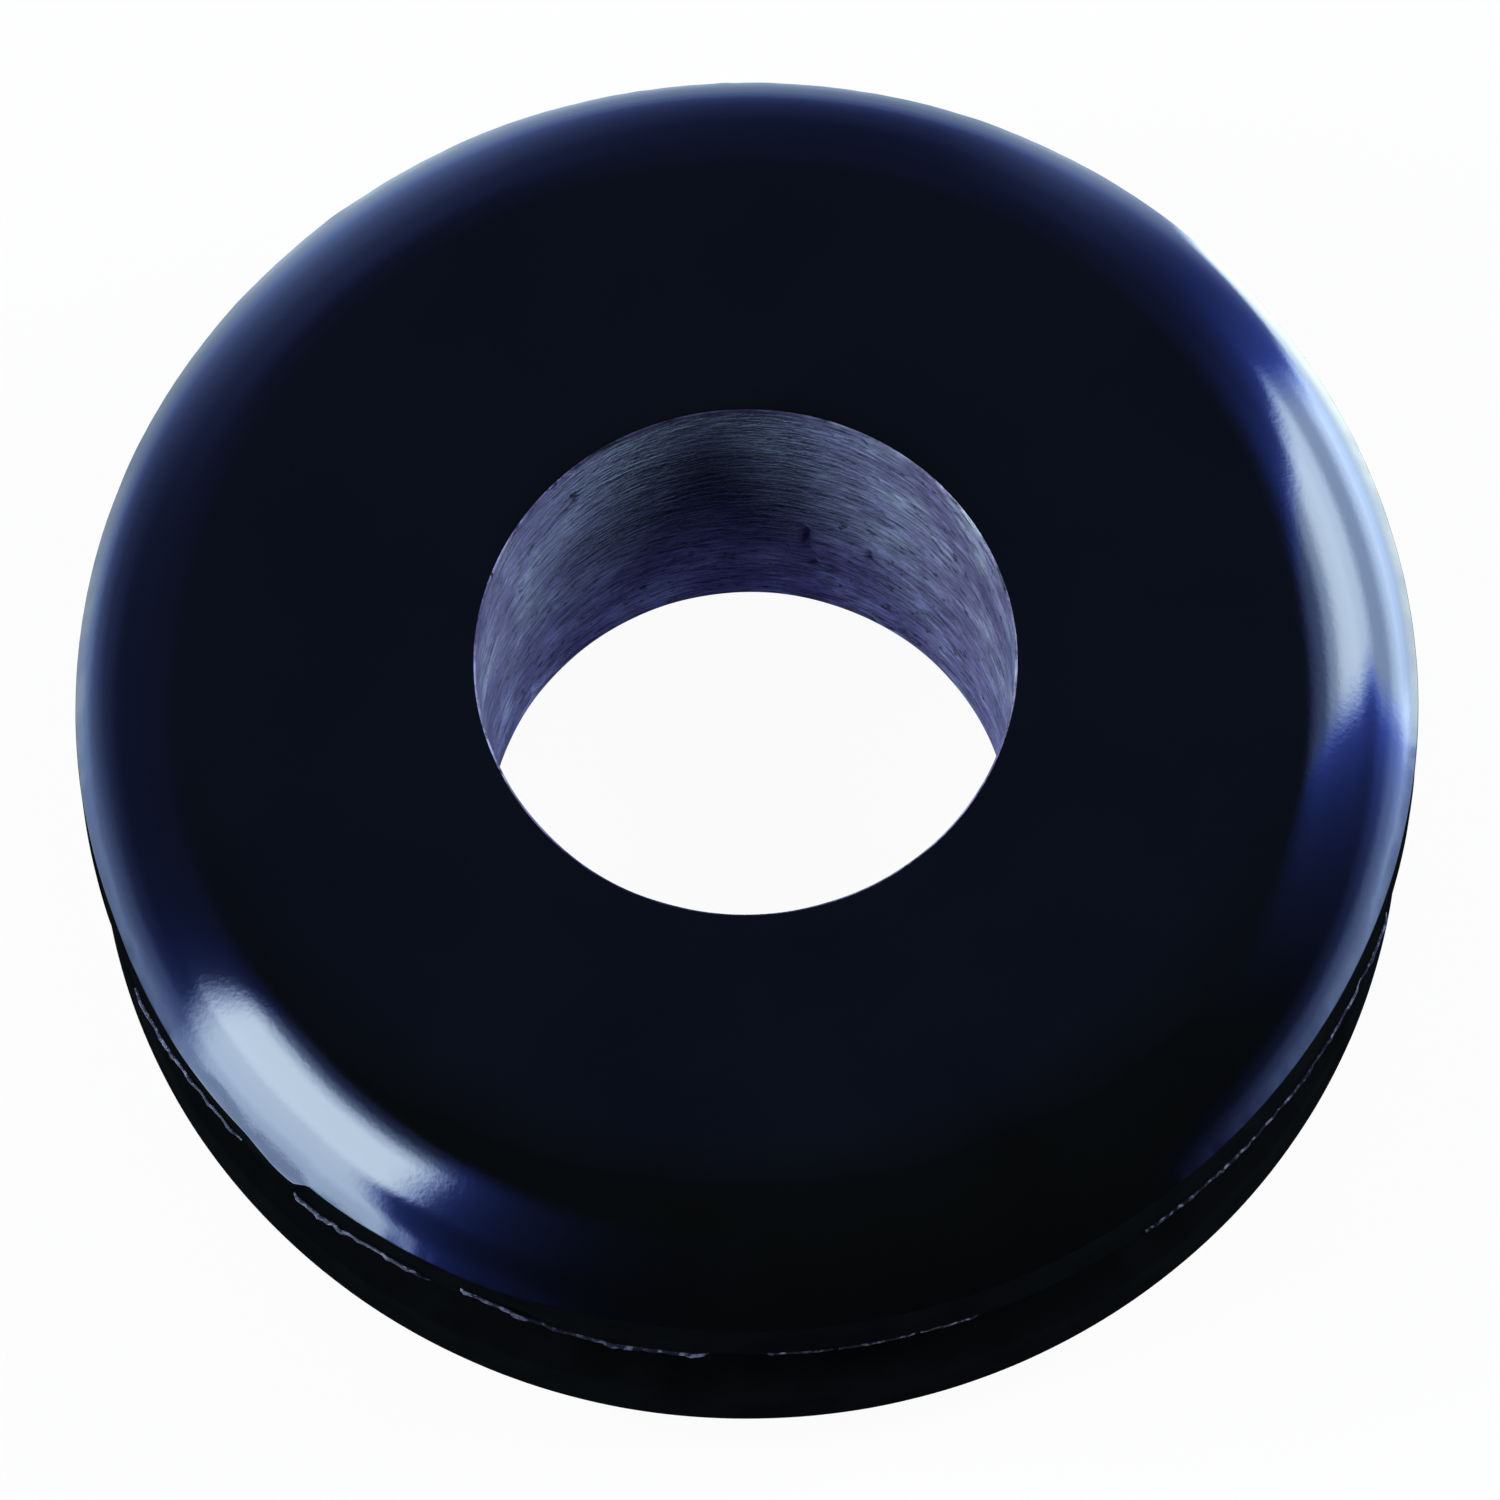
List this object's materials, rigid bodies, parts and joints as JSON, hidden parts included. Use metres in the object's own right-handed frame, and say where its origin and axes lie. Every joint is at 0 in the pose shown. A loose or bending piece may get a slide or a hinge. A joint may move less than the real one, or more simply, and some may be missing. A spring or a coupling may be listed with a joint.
{
  "type": "rubber grommet",
  "caption": "Moulded rubber grommet: a thick ring with two rounded flanges, a panel groove between them and a plain bore that guards a cable.",
  "frame": {"origin": "middle of the lower flange's outer face, on the axis of the bore", "axes": "+Z along the bore, from the lower flange towards the upper flange, which carries the flash"},
  "size_m": [0.016, 0.0162, 0.0058],
  "materials": {
    "rubber": "smooth semi-gloss black rubber with a matte bore"
  },
  "bodies": {
    "root": {"grommet": "rubber"}
  },
  "joints": []
}
